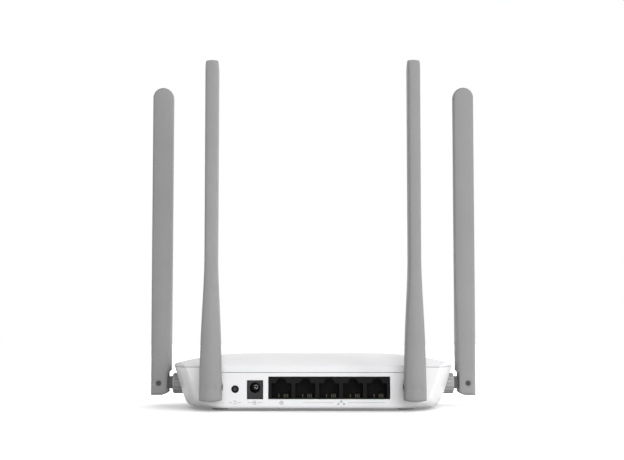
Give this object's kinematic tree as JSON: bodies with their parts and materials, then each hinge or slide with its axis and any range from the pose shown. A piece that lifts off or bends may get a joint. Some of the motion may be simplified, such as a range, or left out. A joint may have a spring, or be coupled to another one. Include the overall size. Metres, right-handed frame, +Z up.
{
  "type": "wireless router",
  "caption": "Low dished wireless router with network ports, a power jack and a reset button on its rear and flat antennas that swivel and tilt.",
  "frame": {"origin": "under the middle of the box round the whole router with its antennas upright, on the plane of its feet", "axes": "+Z up, +Y towards the rear with the ports, +X to the right as seen from the front"},
  "size_m": [0.2076, 0.1348, 0.2052],
  "materials": {
    "housing_white": "smooth satin white moulding",
    "antenna_grey": "fine matte grey moulding",
    "base_grey": "matte grey moulding with ribs",
    "pin_dark": "dark moulded pin",
    "port_black": "black glass-filled moulding",
    "jack_black": "charcoal moulding",
    "button_black": "black moulding",
    "contact_gilt": "gilt spring wire",
    "jack_metal": "bright nickel",
    "screw_steel": "zinc-plated steel",
    "foot_rubber": "pale grey rubber",
    "clear_guide": "clear polycarbonate",
    "board_green": "green solder mask",
    "chip_black": "black epoxy",
    "can_metal": "tinned steel",
    "led_resin": "pale resin",
    "radiator_board": "bare glass-epoxy strip with copper arms",
    "coax_black": "thin black coax"
  },
  "bodies": {
    "housing": {"top_cover": "housing_white", "bottom_case": "housing_white", "rubber_feet": "foot_rubber", "case_screws": "screw_steel", "board_screws": "screw_steel", "led_light_guide": "clear_guide", "network_port_block": "port_black", "reset_switch": "port_black", "power_jack_body": "jack_black", "port_contacts_1": "contact_gilt", "port_contacts_2": "contact_gilt", "port_contacts_3": "contact_gilt", "port_contacts_4": "contact_gilt", "port_contacts_5": "contact_gilt", "power_jack_pin": "jack_metal", "power_jack_spring": "jack_metal", "main_board": "board_green", "processor": "chip_black", "switch_chip": "chip_black", "memory_chip": "chip_black", "flash_chip": "chip_black", "lan_transformers": "chip_black", "power_inductor": "chip_black", "small_board_parts": "chip_black", "radio_shield_can": "can_metal", "crystal": "can_metal", "bulk_capacitors": "can_metal", "status_leds": "led_resin", "left_side_coax": "coax_black", "right_side_coax": "coax_black", "left_rear_coax": "coax_black", "right_rear_coax": "coax_black"},
    "left_side_swivel": {"left_side_swivel_base": "base_grey"},
    "left_side_blade": {"left_side_antenna": "antenna_grey", "left_side_hinge_pin": "pin_dark", "left_side_radiator": "radiator_board"},
    "right_side_swivel": {"right_side_swivel_base": "base_grey"},
    "right_side_blade": {"right_side_antenna": "antenna_grey", "right_side_hinge_pin": "pin_dark", "right_side_radiator": "radiator_board"},
    "left_rear_swivel": {"left_rear_swivel_base": "base_grey"},
    "left_rear_blade": {"left_rear_antenna": "antenna_grey", "left_rear_hinge_pin": "pin_dark", "left_rear_radiator": "radiator_board"},
    "right_rear_swivel": {"right_rear_swivel_base": "base_grey"},
    "right_rear_blade": {"right_rear_antenna": "antenna_grey", "right_rear_hinge_pin": "pin_dark", "right_rear_radiator": "radiator_board"},
    "reset_plunger": {"reset_button": "button_black"}
  },
  "joints": [
    {"name": "left_side_turn", "type": "hinge", "parent": "housing", "child": "left_side_swivel", "pos_m": [-0.0822, -0.00935, 0.0143], "axis": [1, 0, 0], "range_deg": [-90, 90]},
    {"name": "left_side_tilt", "type": "hinge", "parent": "left_side_swivel", "child": "left_side_blade", "pos_m": [-0.0981, -0.00935, 0.0143], "axis": [0, -1, 0], "range_deg": [0, 90]},
    {"name": "right_side_turn", "type": "hinge", "parent": "housing", "child": "right_side_swivel", "pos_m": [0.0822, -0.00935, 0.0143], "axis": [1, 0, 0], "range_deg": [-90, 90]},
    {"name": "right_side_tilt", "type": "hinge", "parent": "right_side_swivel", "child": "right_side_blade", "pos_m": [0.0981, -0.00935, 0.0143], "axis": [0, 1, 0], "range_deg": [0, 90]},
    {"name": "left_rear_turn", "type": "hinge", "parent": "housing", "child": "left_rear_swivel", "pos_m": [-0.0587, 0.04575, 0.0143], "axis": [0, -1, 0], "range_deg": [-15, 90]},
    {"name": "left_rear_tilt", "type": "hinge", "parent": "left_rear_swivel", "child": "left_rear_blade", "pos_m": [-0.0587, 0.06165, 0.0143], "axis": [-1, 0, 0], "range_deg": [0, 90]},
    {"name": "right_rear_turn", "type": "hinge", "parent": "housing", "child": "right_rear_swivel", "pos_m": [0.0587, 0.04575, 0.0143], "axis": [0, 1, 0], "range_deg": [-15, 90]},
    {"name": "right_rear_tilt", "type": "hinge", "parent": "right_rear_swivel", "child": "right_rear_blade", "pos_m": [0.0587, 0.06165, 0.0143], "axis": [-1, 0, 0], "range_deg": [0, 90]},
    {"name": "reset_press", "type": "slide", "parent": "housing", "child": "reset_plunger", "axis": [0, -1, 0], "range_m": [0, 0.0004], "stiffness_N_per_m": 800}
  ]
}
